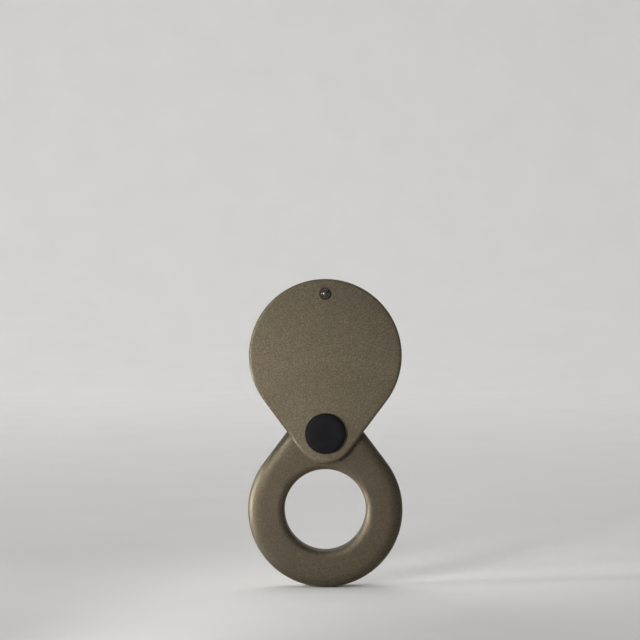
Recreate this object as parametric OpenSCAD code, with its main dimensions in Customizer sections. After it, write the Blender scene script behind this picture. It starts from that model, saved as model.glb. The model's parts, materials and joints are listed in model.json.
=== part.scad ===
// Privacy cover for a door viewer: a hollow teardrop base that is taped to the door round
// the viewer's flange, and a flat teardrop lid that turns on a screwed pivot above the bore.
//
// Frame: +Z up, the door's face is the plane y = 0, and the cover stands out along -Y.
// The origin is on the axis of the viewer bore. Every piece is drawn lying down, with x to
// the right, y up the door and z the height above the door's face, and upright() raises it.

/* [Outline] */
// Radius of the base's round end
round_r = 19; // [18:0.5:22]
// Height of the pivot above the centre of the viewer bore
pivot_rise = 19; // [18.5:0.1:19.5]
// How far the lid's outline lies inside the base's
lid_inset = 0.4; // [0:0.1:0.8]
// Radius of the bore that goes round the viewer's flange
bore_r = 10; // [8.5:0.5:10]

/* [Thickness] */
// Foam tape
tape_t = 1; // [0.6:0.1:1.6]
// Base shell, from the tape to its front face
shell_t = 5.2; // [5.2:0.1:7]
// Skirt of the shell
wall_t = 1.5; // [1.2:0.1:1.6]
// Front wall of the shell
front_t = 1.7; // [1.2:0.1:2]
// Back plate
plate_t = 0.8; // [0.6:0.1:1]
// Washer between the base and the lid
spacer_t = 0.4; // [0.3:0.1:0.8]
// Lid plate
lid_t = 1.5; // [1.2:0.1:2.5]

/* [Edges] */
// Round on the front edge of the base's outline
shell_round = 3.5; // [1.5:0.1:3.6]
// Round on the front mouth of the viewer bore
mouth_round = 2.1; // [0.6:0.1:3]
// Round on the front edge of the lid
lid_round = 0.6; // [0.2:0.05:0.7]
// Round on the front edge of the pivot cap
cap_round = 0.9; // [0.4:0.1:1]

/* [Pivot] */
// Radius of the sleeve's barrel, which the lid turns on
barrel_r = 2.25; // [2.1:0.05:2.5]
// Radial clearance between the barrel and the lid
turn_gap = 0.05; // [0.03:0.01:0.08]
// Radius of the cap over the pivot
cap_r = 4.95; // [4.8:0.05:5.4]
// Thickness of the cap's top
cap_top_t = 0.45; // [0.4:0.05:0.8]

/* [Finger knob] */
// Radius of the knob's dome
knob_r = 1.45; // [1.2:0.05:1.8]
// Height of the dome above the lid
knob_h = 0.9; // [0.6:0.05:1.1]
// Distance of the knob from the centre of the lid's round end
knob_reach = 15; // [12:0.1:16]

/* [Hidden] */

// Overshoot of a cutter past the face that it opens
past = 1;

// Straight sides, which lean in 3 for every 4 upwards: the upright and sideways parts of a length
lean_up = 0.8;
lean_in = 0.6;
side_slope = asin(lean_in);

// Radius of the base's narrow end, which is centred on the pivot
narrow_r = round_r - pivot_rise * lean_in;

// Heights above the door's face
shell_back = tape_t;
plate_front = shell_back + plate_t;
shell_front = shell_back + shell_t;
cavity_top = shell_front - front_t;
lid_back = shell_front + spacer_t;
lid_front = lid_back + lid_t;
wave_t = 0.3;
flange_back = lid_front + wave_t;
flange_t = 0.7;
flange_front = flange_back + flange_t;

// Back plate and the step that it sits in
skirt_lip = 0.9;
plate_gap = 0.1;
collar_t = 1.4;
collar_lip = 0.7;

// Tape, set in from the shell's outline and from the bore
tape_inset = 0.5;
tape_bore_inset = 0.6;

// Plate screws, their posts and the ribs between the bore's collar and the skirt
post_angles = [30, 150, 270];
post_reach = (bore_r + collar_t + round_r - wall_t) / 2;
post_r = 1.8;
pilot_r = 0.8;
pilot_depth = 2.4;
plate_screw_r = 0.75;
plate_screw_reach = 2.1;
plate_head_r = 1.7;
plate_head_sink = 0.03;
head_gap = 0.05;
rib_angles = [-10, 190, 235, 305];
rib_t = 1;

// Pivot screw, nut and lock washer
screw_r = 1.2;
screw_gap = 0.1;
screw_head_r = 2.25;
screw_head_h = 1.05;
screw_head_sink = 0.05;
screw_len = 7;
drive_across = 1.5;
drive_depth = 0.7;
nut_across = 5;
nut_t = 2;
nut_gap = 0.05;
nut_lift = 0.1;
lock_t = 0.5;
lock_r = 2.4;
lock_split = 0.4;
pocket_top = plate_front + nut_lift + nut_t + lock_t;
pocket_depth = pocket_top - plate_front;
pocket_across = nut_across + 2 * nut_gap;
boss_r = 4.4;
seat_web = 0.6;
seat_back = pocket_top + seat_web;

// Sleeve, washers and cap
seat_gap = 0.05;
flange_r = 4.1;
washer_gap = 0.15;
spacer_r = 4.2;
wave_r = 3.8;
cap_gap = 0.05;
cap_lift = 0.1;
cap_lip_r = 3.95;
cap_back = lid_front + cap_lift;
cap_lip_front = flange_back - cap_gap;
cap_room = flange_front + cap_gap;
cap_front = cap_room + cap_top_t;

// Knob's rivet shank, its tail in the lid's back and the low ring round the dome
shank_r = 0.8;
shank_gap = 0.05;
tail_r = 1.3;
tail_h = 0.5;
knob_ring_w = 0.45;
knob_ring_h = 0.15;
knob_ring_r = knob_r + knob_ring_w;
knob_ball_r = (knob_r * knob_r + knob_h * knob_h) / (2 * knob_h);

$fn = 128;

// ---- Outline ---------------------------------------------------------------------------

// Flat teardrop: the base's outline, moved inwards by inset
module teardrop(inset) {
    round_end = round_r - inset;
    narrow_end = narrow_r - inset;
    circle(round_end);
    translate([0, pivot_rise]) circle(narrow_end);
    polygon([
        [round_end * lean_up, round_end * lean_in],
        [narrow_end * lean_up, pivot_rise + narrow_end * lean_in],
        [-narrow_end * lean_up, pivot_rise + narrow_end * lean_in],
        [-round_end * lean_up, round_end * lean_in]
    ]);
}

// Section of a plate out to its edge at x = reach, with the upper corner rounded
module rounded_section(reach, height, edge) {
    square([reach, height - edge]);
    square([reach - edge, height]);
    translate([reach - edge, height - edge]) intersection() {
        circle(edge);
        square(edge);
    }
}

// Turned end of a solid teardrop, kept on the side of its centre that up points to
module turned_end(reach, height, edge, up) {
    beyond = 1.5 * reach;
    intersection() {
        rotate_extrude() rounded_section(reach, height, edge);
        linear_extrude(height + past) polygon([
            [0, 0],
            [beyond * lean_up, beyond * lean_in],
            [beyond * lean_up, beyond * up],
            [-beyond * lean_up, beyond * up],
            [-beyond * lean_up, beyond * lean_in]
        ]);
    }
}

// Straight right side of a solid teardrop, from the middle out to the edge
module straight_side(round_end, narrow_end, height, edge) {
    side_l = pivot_rise * lean_up;
    rotate(side_slope) intersection() {
        translate([0, side_l, 0])
            rotate([90, 0, 0])
                linear_extrude(side_l)
                    rounded_section(round_end, height, edge);
        linear_extrude(height + past) polygon([
            [0, 0],
            [round_end + past, 0],
            [round_end + past, side_l],
            [round_end - narrow_end, side_l]
        ]);
    }
}

// Solid teardrop with a rounded front edge
module rounded_teardrop(inset, height, edge) {
    round_end = round_r - inset;
    narrow_end = narrow_r - inset;
    turned_end(round_end, height, edge, -1);
    translate([0, pivot_rise, 0]) turned_end(narrow_end, height, edge, 1);
    straight_side(round_end, narrow_end, height, edge);
    mirror([1, 0, 0]) straight_side(round_end, narrow_end, height, edge);
}

// ---- Placing ---------------------------------------------------------------------------

// Raises what is drawn lying down: x stays, y goes up the door and z comes off the door
module upright() {
    rotate([90, 0, 0]) children();
}

// Moves to a height above the door on the pivot's axis
module on_pivot(height) {
    translate([0, pivot_rise, height]) children();
}

// Turns the lid half a turn about the pivot, from shut over the bore to open above it
module swung_open() {
    translate([0, 2 * pivot_rise, 0]) rotate(180) children();
}

// Repeats at each plate screw
module at_posts(height) {
    for (angle = post_angles)
        rotate(angle) translate([post_reach, 0, height]) children();
}

// Flat ring standing on z = 0
module ring(outer, inner, height) {
    linear_extrude(height) difference() {
        circle(outer);
        circle(inner);
    }
}

// ---- Base ------------------------------------------------------------------------------

// Cutter that rounds the front mouth of the viewer bore
module mouth_cutter() {
    rotate_extrude() difference() {
        square([bore_r + mouth_round, mouth_round + past]);
        translate([bore_r + mouth_round, 0]) circle(mouth_round);
    }
}

// Bore's collar, screw posts, nut boss and ribs: what stands inside the hollow shell
module shell_inner_walls() {
    circle(bore_r + collar_t);
    for (angle = post_angles)
        rotate(angle) translate([post_reach, 0]) circle(post_r);
    translate([0, pivot_rise]) circle(boss_r);
    for (angle = rib_angles)
        rotate(angle) translate([bore_r, -rib_t / 2]) square([round_r - bore_r, rib_t]);
    translate([-rib_t / 2, bore_r]) square([rib_t, pivot_rise - bore_r]);
}

module base_shell() {
    color("#5d5443") upright() difference() {
        translate([0, 0, shell_back]) rounded_teardrop(0, shell_t, shell_round);
        // Hollow behind the front wall
        translate([0, 0, plate_front]) linear_extrude(cavity_top - plate_front) difference() {
            teardrop(wall_t);
            shell_inner_walls();
        }
        // Step that the back plate sits in
        translate([0, 0, shell_back - past]) linear_extrude(plate_t + past) difference() {
            teardrop(skirt_lip);
            circle(bore_r + collar_lip);
        }
        // Viewer bore and its rounded mouth
        translate([0, 0, shell_back - past]) cylinder(h = shell_t + 2 * past, r = bore_r);
        translate([0, 0, shell_front - mouth_round]) mouth_cutter();
        at_posts(plate_front - past) cylinder(h = pilot_depth + past, r = pilot_r);
        // Nut pocket, screw hole and seat of the pivot sleeve
        on_pivot(plate_front - past)
            cylinder(h = pocket_depth + past, d = pocket_across / cos(30), $fn = 6);
        on_pivot(plate_front) cylinder(h = shell_t, r = screw_r + screw_gap);
        on_pivot(seat_back) cylinder(h = shell_t, r = barrel_r + seat_gap);
    }
}

module back_plate() {
    color("#b9bcbd") upright() difference() {
        translate([0, 0, shell_back]) linear_extrude(plate_t) difference() {
            teardrop(skirt_lip + plate_gap);
            circle(bore_r + collar_lip + plate_gap);
        }
        at_posts(shell_back)
            cylinder(h = plate_t, r1 = plate_head_r + head_gap, r2 = plate_screw_r + head_gap);
    }
}

module plate_screws() {
    color("#9a9da0") upright() at_posts(shell_back + plate_head_sink) {
        cylinder(h = plate_t - plate_head_sink, r1 = plate_head_r, r2 = plate_screw_r);
        cylinder(h = plate_t + plate_screw_reach, r = plate_screw_r);
    }
}

module foam_tape() {
    color("#e9e6dc") upright() linear_extrude(tape_t) difference() {
        teardrop(tape_inset);
        circle(bore_r + tape_bore_inset);
    }
}

// ---- Pivot -----------------------------------------------------------------------------

module pivot_sleeve() {
    color("#a9abac") upright() on_pivot(seat_back) difference() {
        union() {
            cylinder(h = flange_front - seat_back, r = barrel_r);
            translate([0, 0, flange_back - seat_back]) cylinder(h = flange_t, r = flange_r);
        }
        translate([0, 0, -past]) cylinder(h = flange_front, r = screw_r + screw_gap);
        translate([0, 0, flange_front - seat_back - screw_head_h])
            cylinder(h = screw_head_h, r1 = screw_r + screw_gap, r2 = screw_head_r + screw_gap);
    }
}

module pivot_screw() {
    top = flange_front - screw_head_sink;
    color("#8d9092") upright() difference() {
        union() {
            on_pivot(top - screw_head_h) cylinder(h = screw_head_h, r1 = screw_r, r2 = screw_head_r);
            on_pivot(top - screw_len) cylinder(h = screw_len, r = screw_r);
        }
        on_pivot(top - drive_depth)
            cylinder(h = drive_depth + past, d = drive_across / cos(30), $fn = 6);
    }
}

// Split spring ring, pressed flat by the nut
module lock_washer() {
    color("#7f8284") upright() on_pivot(pocket_top - lock_t) difference() {
        ring(lock_r, screw_r + screw_gap, lock_t);
        translate([0, -lock_split / 2, -past]) cube([lock_r + past, lock_split, lock_t + 2 * past]);
    }
}

module pivot_nut() {
    color("#96999b") upright() on_pivot(plate_front + nut_lift) difference() {
        cylinder(h = nut_t, d = nut_across / cos(30), $fn = 6);
        translate([0, 0, -past]) cylinder(h = nut_t + 2 * past, r = screw_r + nut_gap);
    }
}

module spacer_washer() {
    color("#e4e2da") upright() on_pivot(shell_front)
        ring(spacer_r, barrel_r + washer_gap, spacer_t);
}

// Spring ring that presses the lid back, drawn flat as it is when loaded
module wave_washer() {
    color("#a3a6a8") upright() on_pivot(lid_front)
        ring(wave_r, barrel_r + washer_gap, wave_t);
}

module pivot_cap() {
    color("#232323") upright() on_pivot(cap_back) rotate_extrude() difference() {
        rounded_section(cap_r, cap_front - cap_back, cap_round);
        square([cap_lip_r, cap_room - cap_back]);
        translate([0, cap_lip_front - cap_back])
            square([flange_r + cap_gap, cap_room - cap_lip_front]);
    }
}

// ---- Lid -------------------------------------------------------------------------------

module lid_plate() {
    color("#6a6352") upright() swung_open() difference() {
        union() {
            translate([0, 0, lid_back]) rounded_teardrop(lid_inset, lid_t, lid_round);
            // Low ring that the knob's dome sits in
            translate([0, -knob_reach, lid_front])
                cylinder(h = knob_ring_h, r1 = knob_ring_r, r2 = knob_ring_r - knob_ring_h);
        }
        on_pivot(lid_back - past) cylinder(h = lid_t + 2 * past, r = barrel_r + turn_gap);
        translate([0, -knob_reach, lid_back]) {
            cylinder(h = lid_t + past, r = shank_r + shank_gap);
            cylinder(h = tail_h, r1 = tail_r + shank_gap, r2 = shank_r + shank_gap);
        }
        translate([0, -knob_reach, lid_front])
            cylinder(h = knob_ring_h + past, r = knob_r + shank_gap);
    }
}

// Rivet with a domed head to push with a fingertip, and a flush tail in the lid's back
module finger_knob() {
    color("#2a2724") upright() swung_open() translate([0, -knob_reach, lid_back]) {
        cylinder(h = lid_t, r = shank_r);
        cylinder(h = tail_h, r1 = tail_r, r2 = shank_r);
        translate([0, 0, lid_t]) intersection() {
            translate([0, 0, knob_h - knob_ball_r]) sphere(knob_ball_r);
            cylinder(h = knob_h + past, r = knob_ball_r + past);
        }
    }
}

base_shell();
back_plate();
plate_screws();
foam_tape();
pivot_sleeve();
pivot_screw();
lock_washer();
pivot_nut();
spacer_washer();
wave_washer();
pivot_cap();
lid_plate();
finger_knob();
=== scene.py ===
"""Looks of the door viewer cover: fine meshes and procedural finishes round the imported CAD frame.

The cover stands as on its door: x to the right, z up the door, and -y off the door towards the
room. Meshes are drawn from outlines in the door's plane and heights off the door, as in the CAD,
and every size comes from the frame or from a few named details in millimetres.
"""

import json
import math

import bmesh
import bpy
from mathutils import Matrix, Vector


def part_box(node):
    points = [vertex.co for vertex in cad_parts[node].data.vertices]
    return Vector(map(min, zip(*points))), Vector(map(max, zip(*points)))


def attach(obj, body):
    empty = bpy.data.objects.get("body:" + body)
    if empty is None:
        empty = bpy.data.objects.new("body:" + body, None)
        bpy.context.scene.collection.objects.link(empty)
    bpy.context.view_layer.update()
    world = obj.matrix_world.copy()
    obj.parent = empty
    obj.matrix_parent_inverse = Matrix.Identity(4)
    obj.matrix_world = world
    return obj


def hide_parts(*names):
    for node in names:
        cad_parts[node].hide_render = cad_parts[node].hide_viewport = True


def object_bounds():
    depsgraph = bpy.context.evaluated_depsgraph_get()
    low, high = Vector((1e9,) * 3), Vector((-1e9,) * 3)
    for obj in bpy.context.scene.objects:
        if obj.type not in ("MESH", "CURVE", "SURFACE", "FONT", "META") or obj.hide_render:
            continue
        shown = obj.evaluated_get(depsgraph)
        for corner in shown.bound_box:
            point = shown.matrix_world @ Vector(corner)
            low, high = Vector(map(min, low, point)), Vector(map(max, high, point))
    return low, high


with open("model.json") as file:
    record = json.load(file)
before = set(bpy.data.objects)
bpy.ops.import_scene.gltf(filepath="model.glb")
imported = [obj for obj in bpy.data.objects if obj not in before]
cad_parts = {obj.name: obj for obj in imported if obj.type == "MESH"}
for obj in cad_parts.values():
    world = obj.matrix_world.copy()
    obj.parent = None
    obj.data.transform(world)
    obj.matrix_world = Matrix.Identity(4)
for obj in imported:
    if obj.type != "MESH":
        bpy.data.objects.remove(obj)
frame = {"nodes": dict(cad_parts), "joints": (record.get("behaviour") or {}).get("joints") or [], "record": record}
cad_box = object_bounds()

MM = 0.001
TURN = 2 * math.pi

# How many sides the round things have, and how sharp an edge stays sharp.
CIRCLE_STEPS = 96
FINE_STEPS = 128
COLUMN_STEPS = 64
HOLE_STEPS = 48
PILOT_STEPS = 32
OUTLINE_STEP = 0.5 * MM
ARC_LEAST = 8
STRAIGHT_LEAST = 4
SHARP_DEG = 35


# ---- Sizes read from the frame ---------------------------------------------------------------


def span(node):
    """Half width across x, lowest and highest z, and the heights off the door that a node spans."""
    low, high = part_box(node)
    return (high.x - low.x) / 2, low.z, high.z, -high.y, -low.y


mounts = {m["name"]: m for m in frame["record"]["mounts"]}
BORE_R = mounts["viewer_bore"]["dims"]["r_mm"] * MM
BORE_WALL = mounts["viewer_bore"]["dims"]["length_mm"] * MM
PIVOT = Vector((0, frame["joints"][0]["pos_m"][2]))
BORE = Vector((0, 0))

SHELL_R, _, shell_top, SHELL_BACK, SHELL_FRONT = span("base_shell")
SHELL_NARROW = shell_top - PIVOT.y
LID_R, lid_low, lid_top, LID_BACK, LID_PEAK = span("lid_plate")
LID_NARROW = PIVOT.y - lid_low
LID_CENTRE = Vector((0, lid_top - LID_R))
CAP_R, _, _, CAP_BACK, CAP_FRONT = span("pivot_cap")
_, knob_low, knob_high, _, KNOB_FRONT = span("finger_knob")
KNOB = Vector((0, (knob_low + knob_high) / 2))
KNOB_R = (knob_high - knob_low) / 2
TAPE_R, _, tape_top, _, TAPE_T = span("foam_tape")
PLATE_FRONT = span("back_plate")[4]
SLEEVE_FLANGE_R, _, _, SEAT_BACK, FLANGE_FRONT = span("pivot_sleeve")
SPACER_R, _, _, SPACER_BACK, SPACER_FRONT = span("spacer_washer")
NUT_FRONT = span("lock_washer")[4]
WAVE_R, _, _, LID_FRONT, WAVE_FRONT = span("wave_washer")


# ---- Outlines --------------------------------------------------------------------------------


class Teardrop:
    """An outline of a round end, two straight sides and a narrow end.

    Its rows are (centre, radius, normal): each point lies a radius from its centre.
    """

    def __init__(self, round_at, round_r, narrow_at, narrow_r):
        axis = narrow_at - round_at
        reach = axis.length
        up = axis.normalized()
        across = Vector((up.y, -up.x))
        slope = math.asin((round_r - narrow_r) / reach)
        side = reach * math.cos(slope)
        self.round_r = round_r
        self.narrow_r = narrow_r
        self.rows = []

        def add(centre, radius, angle):
            normal = across * math.cos(angle) + up * math.sin(angle)
            self.rows.append((centre, radius, normal))

        def arc(centre, radius, first, last):
            steps = max(ARC_LEAST, round(radius * abs(last - first) / OUTLINE_STEP))
            for i in range(steps):
                add(centre, radius, first + (last - first) * i / steps)

        def straight(start, end, start_r, end_r, angle):
            steps = max(STRAIGHT_LEAST, round(side / OUTLINE_STEP))
            for i in range(steps):
                t = i / steps
                add(start.lerp(end, t), start_r + (end_r - start_r) * t, angle)

        arc(round_at, round_r, math.pi - slope, TURN + slope)
        straight(round_at, narrow_at, round_r, narrow_r, slope)
        arc(narrow_at, narrow_r, slope, math.pi - slope)
        straight(narrow_at, round_at, narrow_r, round_r, math.pi - slope)

    def loop(self, inset, height, narrow_inset=None):
        """The outline moved inwards, less or more at its narrow end if asked, at a height."""
        low_inset = inset if narrow_inset is None else narrow_inset
        points = []
        for centre, radius, normal in self.rows:
            roundness = (radius - self.narrow_r) / (self.round_r - self.narrow_r)
            p = centre + normal * (radius - low_inset - (inset - low_inset) * roundness)
            points.append((p.x, -height, p.y))
        return points


def ring_like(loop, centre, radius, height):
    """A circle with one point for each point of a loop, in the same direction from the centre."""
    points = []
    for x, _, z in loop:
        way = (Vector((x, z)) - centre).normalized()
        points.append((centre.x + radius * way.x, -height, centre.y + radius * way.y))
    return points


def circle(centre, radius, height, steps=CIRCLE_STEPS):
    """A circle in the door's plane, at a height off the door."""
    return [
        (
            centre.x + radius * math.cos(TURN * i / steps),
            -height,
            centre.y + radius * math.sin(TURN * i / steps),
        )
        for i in range(steps)
    ]


def between(start, end, steps):
    """Loops that lead evenly from one loop to another, without either of them."""
    loops = []
    for k in range(1, steps):
        t = k / steps
        loops.append([Vector(a).lerp(Vector(b), t)[:] for a, b in zip(start, end)])
    return loops


def quarter(steps, power=2.0):
    """How far in and how far up a rounded edge goes, from 0 to 1.

    A power of 2 is circular. A higher one is tighter at the corner and flatter into the face.
    """
    pairs = []
    for i in range(steps + 1):
        a = math.pi / 2 * i / steps
        pairs.append((1 - max(0.0, math.cos(a)) ** (2 / power), math.sin(a) ** (2 / power)))
    return pairs


# ---- Meshes ----------------------------------------------------------------------------------


def new_object(name, mesh):
    obj = bpy.data.objects.new(name, mesh)
    bpy.context.scene.collection.objects.link(obj)
    return obj


def loft(name, loops, closed):
    """A solid through loops of equal count. It closes on itself, or its end loops are filled."""
    bm = bmesh.new()
    rows = [[bm.verts.new(p) for p in loop] for loop in loops]
    count = len(rows[0])
    pairs = list(zip(rows, rows[1:]))
    if closed:
        pairs.append((rows[-1], rows[0]))
    for low, high in pairs:
        for i in range(count):
            j = (i + 1) % count
            bm.faces.new((low[i], low[j], high[j], high[i]))
    if not closed:
        for row in (rows[0], rows[-1]):
            bm.faces.new(row)
    bmesh.ops.recalc_face_normals(bm, faces=bm.faces)
    mesh = bpy.data.meshes.new(name)
    bm.to_mesh(mesh)
    bm.free()
    return new_object(name, mesh)


def lathe(name, centre, profile, closed, steps=CIRCLE_STEPS):
    """A turned solid: profile holds (radius, height off the door) pairs."""
    loops = [circle(centre, radius, height, steps) for radius, height in profile]
    return loft(name, loops, closed)


def prism(name, points, centre, back, front):
    """A straight solid from a flat outline given round a centre."""
    loops = [
        [(centre.x + p[0], -h, centre.y + p[1]) for p in points] for h in (back, front)
    ]
    return loft(name, loops, closed=False)


def cut(obj, *tools, operation="DIFFERENCE"):
    """Cuts the tools out of obj, or joins them to it, and deletes them."""
    for tool in tools:
        mod = obj.modifiers.new("cut", "BOOLEAN")
        mod.operation = operation
        mod.solver = "EXACT"
        mod.object = tool
    dg = bpy.context.evaluated_depsgraph_get()
    mesh = bpy.data.meshes.new_from_object(obj.evaluated_get(dg))
    obj.modifiers.clear()
    old, obj.data = obj.data, mesh
    mesh.name = obj.name
    bpy.data.meshes.remove(old)
    for tool in tools:
        drop = tool.data
        bpy.data.objects.remove(tool)
        bpy.data.meshes.remove(drop)
    return obj


def smooth(obj, sharp_deg=SHARP_DEG):
    """Smooth shading that keeps edges sharper than an angle."""
    obj.data.shade_smooth()
    obj.data.set_sharp_from_angle(angle=math.radians(sharp_deg))
    return obj


def mark_edges(obj, wear):
    """Stores how worn each point is for the materials: 0 is unworn, and 1 is a worn edge. On the lid's knob ring a
    higher value paints a highlight into the colour.
    """
    attribute = obj.data.attributes.new("edge", "FLOAT", "POINT")
    for v, value in zip(obj.data.vertices, attribute.data):
        value.value = wear(v.co)


def place(obj, body, node, material):
    """Finishes a piece: its material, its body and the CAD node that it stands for."""
    obj.data.materials.clear()
    obj.data.materials.append(material)
    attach(obj, body)
    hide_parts(node)
    return obj


# ---- Material parts --------------------------------------------------------------------------


# A Mix node's colour sockets come after its number and vector sockets.
MIX_FIRST = 6
MIX_SECOND = 7
MIX_RESULT = 2


class Finish:
    """A node material on one Principled shader, in the object's own coordinates."""

    def __init__(self, name, **sockets):
        self.material = bpy.data.materials.new(name)
        self.material.use_nodes = True
        self.tree = self.material.node_tree
        self.shader = self.tree.nodes["Principled BSDF"]
        for key, value in sockets.items():
            socket = key.replace("_", " ").title().replace("Ior", "IOR")
            self.shader.inputs[socket].default_value = value
        self.coords = self.tree.nodes.new("ShaderNodeTexCoord").outputs["Object"]

    def node(self, kind, **settings):
        made = self.tree.nodes.new(kind)
        for key, value in settings.items():
            setattr(made, key, value)
        return made

    def link(self, output, socket):
        self.tree.links.new(output, socket)

    def noise(self, size, detail=2.0, rough=0.5, stretch=(1, 1, 1)):
        """Soft noise whose lumps are about size metres across."""
        where = self.coords
        if stretch != (1, 1, 1):
            mapping = self.node("ShaderNodeMapping")
            mapping.inputs["Scale"].default_value = stretch
            self.link(self.coords, mapping.inputs["Vector"])
            where = mapping.outputs["Vector"]
        made = self.node("ShaderNodeTexNoise")
        made.inputs["Scale"].default_value = 1 / size
        made.inputs["Detail"].default_value = detail
        made.inputs["Roughness"].default_value = rough
        self.link(where, made.inputs["Vector"])
        return made.outputs["Fac"]

    def cells(self, size):
        """Distance to the nearest of points about size metres apart."""
        made = self.node("ShaderNodeTexVoronoi")
        made.inputs["Scale"].default_value = 1 / size
        self.link(self.coords, made.inputs["Vector"])
        return made.outputs["Distance"]

    def cell_tone(self, size):
        """A random number for each of a crowd of cells about size metres across."""
        made = self.node("ShaderNodeTexVoronoi")
        made.inputs["Scale"].default_value = 1 / size
        self.link(self.coords, made.inputs["Vector"])
        split = self.node("ShaderNodeSeparateColor")
        self.link(made.outputs["Color"], split.inputs["Color"])
        return split.outputs["Red"]

    def ramp(self, value, *stops):
        """Colours or numbers along a value: stops are (position, colour)."""
        made = self.node("ShaderNodeValToRGB")
        elements = made.color_ramp.elements
        while len(elements) < len(stops):
            elements.new(0.5)
        for element, (position, colour) in zip(elements, stops):
            element.position = position
            element.color = (*colour, 1) if len(colour) == 3 else colour
        self.link(value, made.inputs["Fac"])
        return made.outputs["Color"]

    def grade(self, value, low, high, from_low=0.3, from_high=0.7):
        """Maps a value's usual range to low..high."""
        made = self.node("ShaderNodeMapRange")
        made.inputs["From Min"].default_value = from_low
        made.inputs["From Max"].default_value = from_high
        made.inputs["To Min"].default_value = low
        made.inputs["To Max"].default_value = high
        self.link(value, made.inputs["Value"])
        return made.outputs["Result"]

    def mix(self, amount, first, second, blend="MIX"):
        """Mixes two colours, each an output or a plain colour. amount is an output or a number."""
        made = self.node("ShaderNodeMix", data_type="RGBA", blend_type=blend)
        sockets = (made.inputs["Factor"], made.inputs[MIX_FIRST], made.inputs[MIX_SECOND])
        for socket, value in zip(sockets, (amount, first, second)):
            if isinstance(value, bpy.types.NodeSocket):
                self.link(value, socket)
            elif isinstance(value, tuple):
                socket.default_value = (*value, 1)
            else:
                socket.default_value = value
        return made.outputs[MIX_RESULT]

    def math(self, operation, first, second):
        made = self.node("ShaderNodeMath", operation=operation)
        for socket, value in zip(made.inputs, (first, second)):
            if isinstance(value, bpy.types.NodeSocket):
                self.link(value, socket)
            else:
                socket.default_value = value
        return made.outputs["Value"]

    def edge(self):
        """The stored wear, and the painted highlight on the lid's knob ring."""
        return self.node("ShaderNodeAttribute", attribute_name="edge").outputs["Fac"]

    def colour(self, output):
        self.link(output, self.shader.inputs["Base Color"])

    def rough(self, output):
        self.link(output, self.shader.inputs["Roughness"])

    def bump(self, *layers):
        """Stacked bumps: each layer is (height output, depth in metres, strength)."""
        normal = None
        for height, depth, strength in layers:
            made = self.node("ShaderNodeBump")
            made.inputs["Strength"].default_value = strength
            made.inputs["Distance"].default_value = depth
            self.link(height, made.inputs["Height"])
            if normal:
                self.link(normal, made.inputs["Normal"])
            normal = made.outputs["Normal"]
        self.link(normal, self.shader.inputs["Normal"])


# ---- Materials -------------------------------------------------------------------------------


def powder_coat(name, tone):
    """Bronze metallic powder coat: fine flecks, glinting flakes and an orange-peel skin."""
    f = Finish(name, metallic=0.7, specular_ior_level=0.4)

    def shade(factor, warm=1.0):
        return tuple(c * factor * w for c, w in zip(tone, (warm, 1.0, 1 / warm)))

    fleck = f.noise(0.34 * MM, detail=2.0, rough=0.7)
    flecks = f.ramp(fleck, (0.32, shade(0.70)), (0.5, shade(1.0)), (0.68, shade(1.38, 1.01)))
    cloud = f.grade(f.noise(9 * MM, detail=2.0), 0.0, 0.22)
    clouded = f.mix(cloud, flecks, f.mix(1.0, flecks, (0.85, 0.86, 0.88), "MULTIPLY"))
    flake = f.ramp(f.cell_tone(0.17 * MM), (0.86, (0, 0, 0)), (0.93, (1, 1, 1)))
    flaked = f.mix(f.math("MULTIPLY", flake, 0.36), clouded, shade(2.6, 1.03))
    # Lighter where the stored value is high: worn edges, and a painted highlight on the lid's knob ring.
    f.colour(f.mix(f.math("MULTIPLY", f.edge(), 0.28), flaked, shade(1.5, 1.0)))
    f.rough(f.grade(f.noise(0.6 * MM, detail=2.0), 0.50, 0.62))
    peel = f.noise(0.75 * MM, detail=1.0)
    grain = f.noise(0.2 * MM, detail=1.0)
    f.bump((peel, 0.016 * MM, 0.8), (grain, 0.004 * MM, 0.7))
    return f.material


def black_plastic():
    """Moulded cap: near-black with a fine eroded texture and a faintly lighter edge."""
    f = Finish("black_moulded_plastic", specular_ior_level=0.07)
    tone = f.noise(3 * MM, detail=3.0)
    plain = f.ramp(tone, (0.3, (0.0033, 0.0031, 0.0040)), (0.7, (0.0056, 0.0053, 0.0064)))
    f.colour(f.mix(f.math("MULTIPLY", f.edge(), 0.15), plain, (0.014, 0.014, 0.013)))
    f.rough(f.grade(f.noise(0.5 * MM, detail=2.0), 0.46, 0.60))
    f.bump((f.noise(0.16 * MM, detail=1.0), 0.006 * MM, 0.7), (f.noise(2.5 * MM), 0.02 * MM, 0.3))
    return f.material


def dark_lacquer():
    """Knob: glossy dark brown lacquer over the rivet, slightly smeared by fingers."""
    f = Finish("dark_lacquered_rivet", specular_ior_level=0.5, coat_weight=0.4, coat_roughness=0.06)
    tone = f.noise(0.8 * MM, detail=3.0)
    plain = f.ramp(tone, (0.3, (0.012, 0.0072, 0.0042)), (0.7, (0.024, 0.0155, 0.0098)))
    f.colour(f.mix(f.math("MULTIPLY", f.edge(), 0.4), plain, (0.05, 0.04, 0.03)))
    f.rough(f.grade(f.noise(0.5 * MM, detail=2.0), 0.16, 0.3))
    f.bump((f.noise(0.5 * MM), 0.008 * MM, 0.35))
    return f.material


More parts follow.
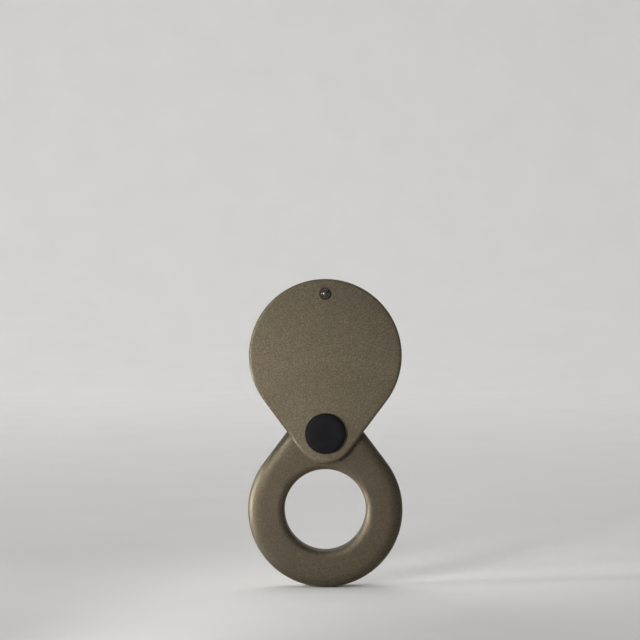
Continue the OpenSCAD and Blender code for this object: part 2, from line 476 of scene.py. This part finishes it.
def foam():
    """Double-sided foam tape: fine closed cells under a satin adhesive film."""
    f = Finish("white_foam_tape", specular_ior_level=0.35)
    cell = f.cells(0.22 * MM)
    pit_painted_shade, wall, skin = (0.60, 0.58, 0.52), (0.80, 0.78, 0.71), (0.85, 0.83, 0.77)
    # The cells' hollows are painted darker than their walls: painted shade in the pits.
    body = f.ramp(cell, (0.0, pit_painted_shade), (0.5, wall), (1.0, skin))
    stain = f.noise(5 * MM, detail=4.0)
    f.colour(f.mix(f.grade(stain, 0.0, 0.35), body, (0.70, 0.66, 0.55)))
    f.rough(f.grade(f.noise(1.5 * MM, detail=3.0), 0.42, 0.7))
    f.bump((cell, 0.02 * MM, 0.5), (f.noise(3 * MM, detail=2.0), 0.05 * MM, 0.4))
    return f.material


def steel(name, tone, low, high, stretch=(1, 1, 1)):
    """Plated or turned steel with drawn marks and faint stains."""
    f = Finish(name, metallic=1.0)
    marks = f.noise(0.25 * MM, detail=4.0, rough=0.65, stretch=stretch)
    stain = f.noise(2.2 * MM, detail=3.0)
    dull = tuple(c * 0.72 for c in tone)
    f.colour(f.mix(f.grade(stain, 0.0, 0.6), f.ramp(marks, (0.3, dull), (0.7, tone)), dull))
    f.rough(f.grade(marks, low, high))
    f.bump((marks, 0.006 * MM, 0.5))
    return f.material


def nylon():
    """Punched nylon washer, milky with a faint grain."""
    f = Finish("milky_nylon", specular_ior_level=0.45)
    milk = f.noise(0.9 * MM, detail=3.0)
    f.colour(f.ramp(milk, (0.3, (0.66, 0.64, 0.58)), (0.7, (0.80, 0.79, 0.74))))
    f.rough(f.grade(f.noise(0.4 * MM), 0.38, 0.55))
    f.bump((f.noise(0.3 * MM, detail=2.0), 0.006 * MM, 0.6))
    return f.material


SHADE_NEAR = 0.7
SHADE_FAR = 1.3
SHADE_LOW = 0.25
SHADE_HIGH = 0.40
SHADE_TONE = (0.30, 0.30, 0.30)
SHADE_SKEW = 0.6
SHADE_REACH = 0.85


def stage_paper():
    """Matt paper of the stage: pale, and greyer towards its front right and its top."""
    f = Finish("pale_paper", specular_ior_level=0.0)
    cloud = f.noise(40 * MM, detail=2.0)
    pale = f.ramp(cloud, (0.3, (0.77, 0.765, 0.755)), (0.7, (0.79, 0.785, 0.775)))
    split = f.node("ShaderNodeSeparateXYZ")
    f.link(f.coords, split.inputs["Vector"])
    toward = f.math("MULTIPLY", split.outputs["Y"], SHADE_SKEW)
    across = f.math("SUBTRACT", split.outputs["X"], toward)
    rightward = f.grade(across, 0.0, SHADE_REACH, SHADE_NEAR, SHADE_FAR)
    raised = f.grade(split.outputs["Z"], 0.0, 1.0, SHADE_LOW, SHADE_HIGH)
    f.colour(f.mix(f.math("MULTIPLY", rightward, raised), pale, SHADE_TONE))
    f.rough(f.grade(f.noise(5 * MM), 0.8, 0.9))
    f.bump((f.noise(0.8 * MM, detail=3.0), 0.01 * MM, 0.25))
    return f.material


BASE_COAT = powder_coat("bronze_powder_coat_base", (0.0608, 0.0491, 0.0318))
LID_COAT = powder_coat("bronze_powder_coat_lid", (0.0869, 0.0720, 0.0472))
BLACK = black_plastic()
LACQUER = dark_lacquer()
FOAM = foam()
NYLON = nylon()
PLATED = steel("zinc_plated_sheet", (0.56, 0.57, 0.57), 0.28, 0.46, (1, 1, 8))
SCREW_STEEL = steel("zinc_plated_screw", (0.50, 0.51, 0.51), 0.25, 0.4)
TURNED = steel("turned_steel", (0.55, 0.55, 0.54), 0.2, 0.34, (1, 12, 1))
SPRING = steel("spring_steel", (0.36, 0.36, 0.36), 0.3, 0.45)


# ---- Base shell ------------------------------------------------------------------------------

SKIRT = 1.5 * MM
FRONT_WALL = 1.7 * MM
LIP = 0.9 * MM
COLLAR_R = BORE_R + 1.4 * MM
COLLAR_LIP_R = BORE_R + 0.7 * MM
ROLL_IN = 4.4 * MM
ROLL_IN_NARROW = 2.9 * MM
ROLL_DROP = 3.6 * MM
MOUTH_IN = 2.5 * MM
EASE = 3.6
MOUTH_EASE = 3.2
BACK_BREAK = 0.25 * MM
MOUTH_BREAK = 0.15 * MM
BOSS_R = 4.4 * MM
POST_R = 1.8 * MM
PILOT_R = 0.8 * MM
PILOT_DEEP = 2.4 * MM
NUT_ACROSS = 5.1 * MM
SCREW_WAY_R = 1.3 * MM
SLEEVE_SEAT_R = 2.3 * MM
POST_ANGLES = (30, 150, 270)
POST_REACH = (COLLAR_R + SHELL_R - SKIRT) / 2
RIB_ANGLES = (-10, 190, 235, 305)
RIB_T = 1.0 * MM
PAST = 1.0 * MM
WEAR_DEEP = 1.2 * MM
ROLL_WEAR = 0.45
ROLL_STEPS = 40
MOUTH_STEPS = 30
BREAK_STEPS = 4
MOUTH_BREAK_STEPS = 3
WALL_STEPS = 3

shell_line = Teardrop(BORE, SHELL_R, PIVOT, SHELL_NARROW)


def heading(degrees):
    """The unit vector at an angle in the door's plane, seen from the room, anticlockwise from x."""
    a = math.radians(degrees)
    return Vector((math.cos(a), math.sin(a)))


posts = [heading(a) * POST_REACH for a in POST_ANGLES]


def shell_solid():
    """The shell's outside: skirt, rounded front, rounded bore mouth, bore wall and a flat back."""
    mouth_drop = SHELL_FRONT - SHELL_BACK - BORE_WALL
    loops = []
    for inward, up in quarter(BREAK_STEPS):
        loops.append(shell_line.loop(BACK_BREAK * (1 - up), SHELL_BACK + BACK_BREAK * inward))
    skirt_top = SHELL_FRONT - ROLL_DROP
    loops += between(loops[-1], shell_line.loop(0, skirt_top), WALL_STEPS)
    for inward, up in quarter(ROLL_STEPS, EASE):
        height = skirt_top + ROLL_DROP * up
        loops.append(shell_line.loop(ROLL_IN * inward, height, ROLL_IN_NARROW * inward))
    edge = loops[-1]
    rim = ring_like(edge, BORE, BORE_R + MOUTH_IN, SHELL_FRONT)
    loops += between(edge, rim, WALL_STEPS)
    for inward, up in reversed(quarter(MOUTH_STEPS, MOUTH_EASE)):
        height = SHELL_FRONT - mouth_drop * (1 - up)
        loops.append(ring_like(edge, BORE, BORE_R + MOUTH_IN * inward, height))
    wall_end = ring_like(edge, BORE, BORE_R, SHELL_BACK + MOUTH_BREAK)
    loops += between(loops[-1], wall_end, WALL_STEPS)
    for inward, up in quarter(MOUTH_BREAK_STEPS):
        height = SHELL_BACK + MOUTH_BREAK * (1 - up)
        loops.append(ring_like(edge, BORE, BORE_R + MOUTH_BREAK * inward, height))
    loops += between(loops[-1], loops[0], 2)
    return loft("base_shell_body", loops, closed=True)


def bar(name, start, end, width, back, front):
    """A straight rib between two points in the door's plane."""
    along = (end - start).normalized()
    side = Vector((-along.y, along.x)) * width / 2
    points = [start + side, end + side, end - side, start - side]
    return prism(name, points, Vector((0, 0)), back, front)


def column(name, centre, radius, back, front, steps=COLUMN_STEPS):
    """A plain cutter or core of round section."""
    return lathe(name, centre, [(radius, back), (radius, front)], closed=False, steps=steps)


def hexagon(across):
    """A hexagon's corners round a centre, from its size across flats."""
    r = across / 2 / math.cos(math.pi / 6)
    return [(r * math.cos(math.pi * i / 3), r * math.sin(math.pi * i / 3)) for i in range(6)]


def base_shell():
    """The shell, hollowed from behind round its collar, boss, posts and ribs."""
    shell = shell_solid()
    ceiling = SHELL_FRONT - FRONT_WALL
    low = PLATE_FRONT - PAST
    high = ceiling + PAST
    room = [shell_line.loop(SKIRT, height) for height in (PLATE_FRONT, ceiling)]
    hollow = loft("hollow", room, closed=False)
    cores = [column("collar", BORE, COLLAR_R, low, high, FINE_STEPS)]
    cores.append(column("boss", PIVOT, BOSS_R, low, high))
    for at in posts:
        cores.append(column("post", at, POST_R, low, high, HOLE_STEPS))
    for a in RIB_ANGLES:
        cores.append(bar("rib", heading(a) * BORE_R, heading(a) * SHELL_R, RIB_T, low, high))
    cores.append(bar("rib", Vector((0, BORE_R)), PIVOT, RIB_T, low, high))
    cut(hollow, *cores)
    ledge = [shell_line.loop(LIP, height) for height in (SHELL_BACK - PAST, PLATE_FRONT)]
    step = loft("step", ledge, closed=False)
    below = SHELL_BACK - 2 * PAST
    cut(step, column("core", BORE, COLLAR_LIP_R, below, PLATE_FRONT + PAST, FINE_STEPS))
    tools = [hollow, step]
    pilot_end = PLATE_FRONT + PILOT_DEEP
    for at in posts:
        tools.append(column("pilot", at, PILOT_R, low, pilot_end, PILOT_STEPS))
    tools.append(prism("pocket", hexagon(NUT_ACROSS), PIVOT, low, NUT_FRONT))
    tools.append(column("way", PIVOT, SCREW_WAY_R, PLATE_FRONT, SHELL_FRONT + PAST))
    tools.append(column("seat", PIVOT, SLEEVE_SEAT_R, SEAT_BACK, SHELL_FRONT + PAST))
    cut(shell, *tools)
    smooth(shell)

    def wear(co):
        height = -co.y
        if height < SHELL_FRONT - ROLL_DROP - PAST:
            return 0.0
        worn = min(1.0, (SHELL_FRONT - height) / WEAR_DEEP)
        beyond = Vector((co.x, co.z)).length - BORE_R
        if beyond > MOUTH_IN:
            return ROLL_WEAR * worn
        strip = MOUTH_IN / 4
        return worn * max(0.0, 1 - abs(beyond - strip) / (2 * strip))

    mark_edges(shell, wear)
    return shell


# ---- Lid -------------------------------------------------------------------------------------

LID_ROLL = 0.7 * MM
LID_DROP = 0.5 * MM
LID_BREAK = 0.2 * MM
LID_BORE_R = 2.3 * MM
BORE_BREAK = 0.1 * MM
SHANK_R = 0.8 * MM
SHANK_GAP = 0.05 * MM
TAIL_R = 1.3 * MM
TAIL_H = 0.5 * MM
RING_W = 0.45 * MM
RING_H = LID_PEAK - LID_FRONT
RING_SQUARE = 0.8
KNOB_FOOT = 0.05 * MM
KNOB_STEPS = 16
KNOB_TIP_PART = 40
KNOB_END = 0.4
KNOB_SHARP_DEG = 50
KNOB_WEAR_TOP = 1.5
# How much lighter the knob ring's crest is painted: a little wear, mostly a painted highlight.
RING_WEAR_AND_HIGHLIGHT = 2.2
LID_EDGE_WEAR = 0.15
LID_ROLL_STEPS = 12
LID_FACE_STEPS = 10
RING_STEPS = 12
RING_SIDES = 72
NEAR = 0.05 * MM
FINE = 0.01 * MM

lid_line = Teardrop(LID_CENTRE, LID_R, PIVOT, LID_NARROW)


def lid_plate():
    """The lid: a flat sheet, its hole for the rivet and the low ring round the rivet."""
    loops = []
    for inward, up in quarter(BREAK_STEPS):
        loops.append(lid_line.loop(LID_BREAK * (1 - up), LID_BACK + LID_BREAK * inward))
    wall_top = LID_FRONT - LID_DROP
    loops += between(loops[-1], lid_line.loop(0, wall_top), 2)
    for inward, up in quarter(LID_ROLL_STEPS):
        loops.append(lid_line.loop(LID_ROLL * inward, wall_top + LID_DROP * up))
    edge = loops[-1]
    rim = ring_like(edge, PIVOT, LID_BORE_R + BORE_BREAK, LID_FRONT)
    loops += between(edge, rim, LID_FACE_STEPS)
    loops.append(rim)
    loops.append(ring_like(edge, PIVOT, LID_BORE_R, LID_FRONT - BORE_BREAK))
    loops.append(ring_like(edge, PIVOT, LID_BORE_R, LID_BACK + BORE_BREAK))
    loops.append(ring_like(edge, PIVOT, LID_BORE_R + BORE_BREAK, LID_BACK))
    loops += between(loops[-1], loops[0], LID_FACE_STEPS)
    lid = loft("lid_plate_sheet", loops, closed=True)
    hole = SHANK_R + SHANK_GAP
    shank = column("shank_hole", KNOB, hole, LID_BACK - PAST, LID_FRONT + PAST, HOLE_STEPS)
    sink = [(TAIL_R + SHANK_GAP + PAST, LID_BACK - PAST), (TAIL_R + SHANK_GAP, LID_BACK)]
    sink.append((hole, LID_BACK + TAIL_H))
    cut(lid, shank, lathe("tail_sink", KNOB, sink, closed=False, steps=HOLE_STEPS))
    hollow_r = KNOB_R + SHANK_GAP
    half = (RING_W - SHANK_GAP) / 2
    profile = [(hollow_r, LID_FRONT - half), (hollow_r, LID_FRONT)]
    for i in range(1, RING_STEPS):
        a = math.pi * i / RING_STEPS
        swell = RING_H * math.sin(a) ** RING_SQUARE
        profile.append((hollow_r + half * (1 - math.cos(a)), LID_FRONT + swell))
    profile += [(KNOB_R + RING_W, LID_FRONT), (KNOB_R + RING_W, LID_FRONT - half)]
    ring = lathe("knob_ring", KNOB, profile, closed=True, steps=RING_SIDES)
    cut(lid, ring, operation="UNION")
    smooth(lid)
    ring_edge = KNOB_R + RING_W + NEAR

    def wear(co):
        height = -co.y
        # The knob ring's crest is painted much lighter: a painted highlight over a little wear.
        if (Vector((co.x, co.z)) - KNOB).length < ring_edge and height > LID_FRONT + FINE:
            return RING_WEAR_AND_HIGHLIGHT
        return LID_EDGE_WEAR if wall_top - NEAR < height < LID_FRONT - 3 * FINE else 0.0

    mark_edges(lid, wear)
    return lid


def finger_knob():
    """Rivet: a dome on the lid's face, a shank and a flared tail."""
    rise = KNOB_FRONT - LID_FRONT
    ball = (KNOB_R**2 + rise**2) / (2 * rise)
    spread = math.asin(KNOB_R / ball)
    tip = spread / KNOB_TIP_PART
    foot = KNOB_FOOT
    end = LID_BACK + KNOB_END * foot
    profile = [(KNOB_END * TAIL_R, end), (TAIL_R - foot, end), (TAIL_R, LID_BACK + foot)]
    profile += [(SHANK_R, LID_BACK + TAIL_H), (SHANK_R, LID_FRONT)]
    profile += [(KNOB_R - foot, LID_FRONT), (KNOB_R, LID_FRONT + foot)]
    for i in range(1, KNOB_STEPS + 1):
        a = spread + (tip - spread) * i / KNOB_STEPS
        profile.append((ball * math.sin(a), KNOB_FRONT - ball * (1 - math.cos(a))))
    knob = lathe("finger_knob_rivet", KNOB, profile, closed=False, steps=COLUMN_STEPS)
    smooth(knob, KNOB_SHARP_DEG)

    def wear(co):
        above = -co.y - LID_FRONT
        return 1.0 if -foot / 2 < above < KNOB_WEAR_TOP * foot else 0.0

    mark_edges(knob, wear)
    return knob


# ---- Pivot -----------------------------------------------------------------------------------

CAP_ROUND = 0.9 * MM
CAP_LIP_R = 3.95 * MM
CAP_DISH = 0.06 * MM
CAP_BREAK = 0.12 * MM
CAP_GAP = 0.05 * MM
CAP_TIP_R = 0.02 * MM
CAP_WEAR_W = 0.5 * MM
CAP_WEAR_AT = 0.35
CAP_ROUND_STEPS = 14
CAP_DISH_STEPS = 12
WASHER_BORE_R = 2.4 * MM
SPACER_BREAK = 0.06 * MM
WAVE_SHEET = 0.14 * MM
WAVES = 3
WAVE_STEPS = 120


def pivot_cap():
    """Snap cap: soft outer edge, slightly dished top, hollow inside with a lip under the flange."""
    room_r = SLEEVE_FLANGE_R + CAP_GAP
    room = FLANGE_FRONT + CAP_GAP
    lip = WAVE_FRONT - CAP_GAP
    profile = [(CAP_R - CAP_BREAK, CAP_BACK), (CAP_R, CAP_BACK + CAP_BREAK)]
    for inward, up in quarter(CAP_ROUND_STEPS):
        profile.append((CAP_R - CAP_ROUND * inward, CAP_FRONT - CAP_ROUND * (1 - up)))
    top_r = CAP_R - CAP_ROUND
    for i in range(1, CAP_DISH_STEPS):
        t = i / CAP_DISH_STEPS
        profile.append((top_r * (1 - t), CAP_FRONT - CAP_DISH * (1 - math.cos(math.pi * t)) / 2))
    profile.append((CAP_TIP_R, CAP_FRONT - CAP_DISH))
    outside = lathe("pivot_cap_shell", PIVOT, profile, closed=False, steps=FINE_STEPS)
    hollow = [(CAP_LIP_R, CAP_BACK - PAST), (CAP_LIP_R, lip - 2 * CAP_GAP)]
    hollow += [(room_r, lip), (room_r, room)]
    cap = cut(outside, lathe("cap_room", PIVOT, hollow, closed=False))
    smooth(cap)
    ring_r = CAP_R - CAP_WEAR_AT * CAP_ROUND

    def wear(co):
        if -co.y <= CAP_FRONT - CAP_ROUND:
            return 0.0
        r = (Vector((co.x, co.z)) - PIVOT).length
        return max(0.0, 1 - abs(r - ring_r) / CAP_WEAR_W)

    mark_edges(cap, wear)
    return cap


def spacer_washer():
    """A flat nylon washer with broken edges."""
    inner, outer = WASHER_BORE_R, SPACER_R
    profile = [
        (inner + SPACER_BREAK, SPACER_BACK),
        (outer - SPACER_BREAK, SPACER_BACK),
        (outer, SPACER_BACK + SPACER_BREAK),
        (outer, SPACER_FRONT - SPACER_BREAK),
        (outer - SPACER_BREAK, SPACER_FRONT),
        (inner + SPACER_BREAK, SPACER_FRONT),
        (inner, SPACER_FRONT - SPACER_BREAK),
        (inner, SPACER_BACK + SPACER_BREAK),
    ]
    return smooth(lathe("spacer_washer_nylon", PIVOT, profile, closed=True))


def wave_washer():
    """Three-wave spring ring that fills its gap from crest to crest."""
    middle = (LID_FRONT + WAVE_FRONT) / 2
    swing = (WAVE_FRONT - LID_FRONT - WAVE_SHEET) / 2
    loops = []
    for radius, side in ((WASHER_BORE_R, -1), (WAVE_R, -1), (WAVE_R, 1), (WASHER_BORE_R, 1)):
        loop = []
        for i in range(WAVE_STEPS):
            a = TURN * i / WAVE_STEPS
            height = middle + swing * math.sin(WAVES * a) + side * WAVE_SHEET / 2
            loop.append((PIVOT.x + radius * math.cos(a), -height, PIVOT.y + radius * math.sin(a)))
        loops.append(loop)
    return smooth(loft("wave_washer_spring", loops, closed=True))


# ---- Foam tape -------------------------------------------------------------------------------

TAPE_HOLE_R = BORE_R + 0.6 * MM
FILM_T = 0.06 * MM
FOAM_TOP = 1.6 * FILM_T
FOAM_SHY = 0.05 * MM
FOAM_WAIST = 1.5 * FOAM_SHY
TAPE_FACE_STEPS = 8


def foam_tape():
    """Foam between two adhesive films, which stand a hair proud of the foam at the cut edge."""
    line = Teardrop(BORE, TAPE_R, PIVOT, tape_top - PIVOT.y)
    steps = [(0, 0.0), (0, FILM_T), (FOAM_SHY, FOAM_TOP), (FOAM_WAIST, TAPE_T / 2)]
    steps += [(FOAM_SHY, TAPE_T - FOAM_TOP), (0, TAPE_T - FILM_T), (0, TAPE_T)]
    loops = [line.loop(inset, height) for inset, height in steps]
    edge = loops[-1]
    rim = ring_like(edge, BORE, TAPE_HOLE_R, TAPE_T)
    loops += between(edge, rim, TAPE_FACE_STEPS)
    for inset, height in reversed(steps):
        loops.append(ring_like(edge, BORE, TAPE_HOLE_R + inset, height))
    loops += between(loops[-1], loops[0], TAPE_FACE_STEPS)
    return smooth(loft("foam_tape_layers", loops, closed=True))


# ---- Making the pieces -----------------------------------------------------------------------

place(base_shell(), "base", "base_shell", BASE_COAT)
place(lid_plate(), "lid", "lid_plate", LID_COAT)
place(finger_knob(), "lid", "finger_knob", LACQUER)
place(pivot_cap(), "base", "pivot_cap", BLACK)
place(foam_tape(), "base", "foam_tape", FOAM)
place(spacer_washer(), "base", "spacer_washer", NYLON)
place(wave_washer(), "base", "wave_washer", SPRING)

CARRIED_OVER = {
    "back_plate": PLATED,
    "plate_screws": SCREW_STEEL,
    "pivot_sleeve": TURNED,
    "pivot_screw": SCREW_STEEL,
    "lock_washer": SPRING,
    "pivot_nut": SCREW_STEEL,
}
for node, material in CARRIED_OVER.items():
    data = frame["nodes"][node].data
    data.materials.clear()
    data.materials.append(material)


# ---- Stage, light and camera -----------------------------------------------------------------

FLOOR_Z = cad_box[0].z
STAGE_R = 1.5
SWEEP_R = 0.45
STAGE_TOP = 1.6
FLOOR_HUB_R = 0.3
SWEEP_STEPS = 24
WASH_SIZE = (1.2, 0.4)
WASH_OUT = 0.8
WASH_HIGH = 1.3
WASH_AIM_HIGH = 0.45
WHITE = (1, 1, 1)
WARM_WHITE = (1.0, 0.985, 0.96)


def stage():
    """Pale floor that sweeps up all round, far outside every view's camera."""
    line = [(FLOOR_HUB_R, FLOOR_Z), (STAGE_R - SWEEP_R, FLOOR_Z)]
    for inward, up in quarter(SWEEP_STEPS)[1:]:
        line.append((STAGE_R - SWEEP_R + SWEEP_R * up, FLOOR_Z + SWEEP_R * inward))
    line.append((STAGE_R, STAGE_TOP))
    bm = bmesh.new()
    steps = CIRCLE_STEPS
    turn = [(math.cos(TURN * i / steps), math.sin(TURN * i / steps)) for i in range(steps)]
    rows = [[bm.verts.new((r * x, r * y, z)) for x, y in turn] for r, z in line]
    bm.faces.new(rows[0])
    for low, high in zip(rows, rows[1:]):
        for i in range(steps):
            j = (i + 1) % steps
            bm.faces.new((low[i], low[j], high[j], high[i]))
    mesh = bpy.data.meshes.new("stage_sweep")
    bm.to_mesh(mesh)
    bm.free()
    sweep = smooth(new_object("stage_sweep", mesh))
    mesh.materials.append(stage_paper())


def place_light(name, spot, target, size, watts, tint=WHITE, spread=180):
    """A rectangular light aimed at a point. Rays from the camera pass it by."""
    light = bpy.data.lights.new(name, "AREA")
    light.shape = "RECTANGLE"
    light.size, light.size_y = size
    light.energy = watts
    light.color = tint
    light.spread = math.radians(spread)
    obj = bpy.data.objects.new(name, light)
    obj.location = spot
    obj.rotation_euler = (target - spot).to_track_quat("-Z", "Y").to_euler()
    obj.visible_camera = False
    bpy.context.scene.collection.objects.link(obj)


def softbox(name, azimuth, elevation, distance, size, watts, tint=WHITE, spread=180, aim_up=0.0):
    """A light aimed at the cover's middle, or at a point above or below it.

    Azimuth 0 is the camera's side and 90 is the right.
    """
    a, e = math.radians(azimuth), math.radians(elevation)
    middle = (cad_box[0] + cad_box[1]) / 2
    way = Vector((math.sin(a) * math.cos(e), -math.cos(a) * math.cos(e), math.sin(e)))
    target = middle + Vector((0, 0, aim_up))
    place_light(name, middle + way * distance, target, size, watts, tint, spread)


def wall_wash(name, azimuth, watts):
    """A light high over the stage that faces away from the cover and lights one side's wall."""
    a = math.radians(azimuth)
    out = Vector((math.sin(a), -math.cos(a), 0))
    spot = out * WASH_OUT + Vector((0, 0, WASH_HIGH))
    target = out * STAGE_R + Vector((0, 0, WASH_AIM_HIGH))
    place_light(name, spot, target, WASH_SIZE, watts)


stage()
softbox("key", -30, 8, 0.15, (0.03, 0.09), 0.0235, tint=WARM_WHITE, spread=50)
softbox("rim", -80, 0, 1.0, (0.08, 0.03), 0.049, spread=6, aim_up=-0.012)
softbox("front", -8, 30, 1.2, (0.8, 0.8), 0.6)
softbox("top", 0, 88, 1.2, (1.2, 1.2), 4.0)
wall_wash("wash_back", 180, 7.0)
wall_wash("wash_left", -105, 5.0)
wall_wash("wash_right", 60, 2.0)

ROOM_TONE = (0.86, 0.87, 0.88, 1)
ROOM_STRENGTH = 0.11
SENSOR_W = 36
LENS = 90.7
CAMERA_AT = (-0.0013, -0.400, 0.0466)

world = bpy.data.worlds.new("studio")
world.use_nodes = True
background = world.node_tree.nodes["Background"]
background.inputs["Color"].default_value = ROOM_TONE
background.inputs["Strength"].default_value = ROOM_STRENGTH
bpy.context.scene.world = world
bpy.context.scene.view_settings.view_transform = "Standard"

camera_data = bpy.data.cameras.new("camera")
camera_data.sensor_width = SENSOR_W
camera_data.lens = LENS
camera = bpy.data.objects.new("camera", camera_data)
camera.location = CAMERA_AT
camera.rotation_euler = (math.radians(90), 0, 0)
bpy.context.scene.collection.objects.link(camera)
bpy.context.scene.camera = camera
